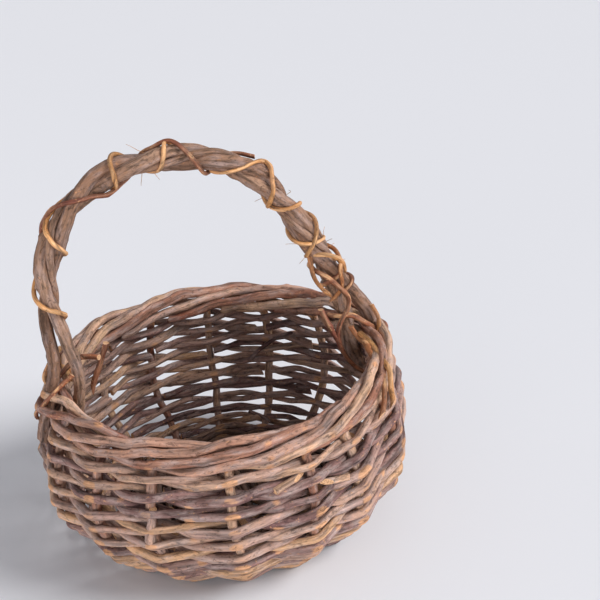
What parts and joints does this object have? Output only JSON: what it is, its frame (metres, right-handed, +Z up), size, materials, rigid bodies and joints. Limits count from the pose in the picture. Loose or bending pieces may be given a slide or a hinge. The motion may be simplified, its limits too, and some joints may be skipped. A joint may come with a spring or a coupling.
{
  "type": "woven market basket",
  "caption": "Round woven market basket of brown unpeeled willow with a bulging open-weave wall, a rolled border and a fixed twisted hoop handle bound with thin withies.",
  "frame": {"origin": "under the middle of the base, on the floor", "axes": "+Z up, the handle's hoop lies along X, Y runs across it"},
  "size_m": [0.233, 0.2232, 0.2475],
  "materials": {
    "base_bark": "unpeeled willow, dark",
    "stake_bark": "unpeeled willow, matt",
    "weaver_bark": "unpeeled willow, matt",
    "handle_bark": "ridged bark",
    "binding_withy": "smooth orange-brown withy"
  },
  "bodies": {
    "root": {"base_stick_1": "base_bark", "base_stick_2": "base_bark", "base_stick_3": "base_bark", "base_stick_4": "base_bark", "base_stick_5": "base_bark", "base_stick_6": "base_bark", "base_stick_7": "base_bark", "base_stick_8": "base_bark", "base_round_1": "base_bark", "base_round_2": "base_bark", "base_round_3": "base_bark", "base_round_4": "base_bark", "base_round_5": "base_bark", "base_round_6": "base_bark", "base_tie": "base_bark", "side_stake_01": "stake_bark", "side_stake_02": "stake_bark", "side_stake_03": "stake_bark", "side_stake_04": "stake_bark", "side_stake_05": "stake_bark", "side_stake_06": "stake_bark", "side_stake_07": "stake_bark", "side_stake_08": "stake_bark", "side_stake_09": "stake_bark", "side_stake_10": "stake_bark", "side_stake_11": "stake_bark", "side_stake_12": "stake_bark", "side_stake_13": "stake_bark", "side_stake_14": "stake_bark", "side_stake_15": "stake_bark", "side_stake_16": "stake_bark", "siding_row_01": "weaver_bark", "siding_row_02": "weaver_bark", "siding_row_03": "weaver_bark", "siding_row_04": "weaver_bark", "siding_row_05": "weaver_bark", "siding_row_06": "weaver_bark", "siding_row_07": "weaver_bark", "siding_row_08": "weaver_bark", "siding_row_09": "weaver_bark", "siding_row_10": "weaver_bark", "siding_row_11": "weaver_bark", "handle_stem_1": "handle_bark", "handle_stem_2": "handle_bark", "handle_stem_3": "handle_bark", "handle_binding": "binding_withy", "handle_lashing_right": "binding_withy", "handle_lashing_left": "binding_withy"}
  },
  "joints": []
}
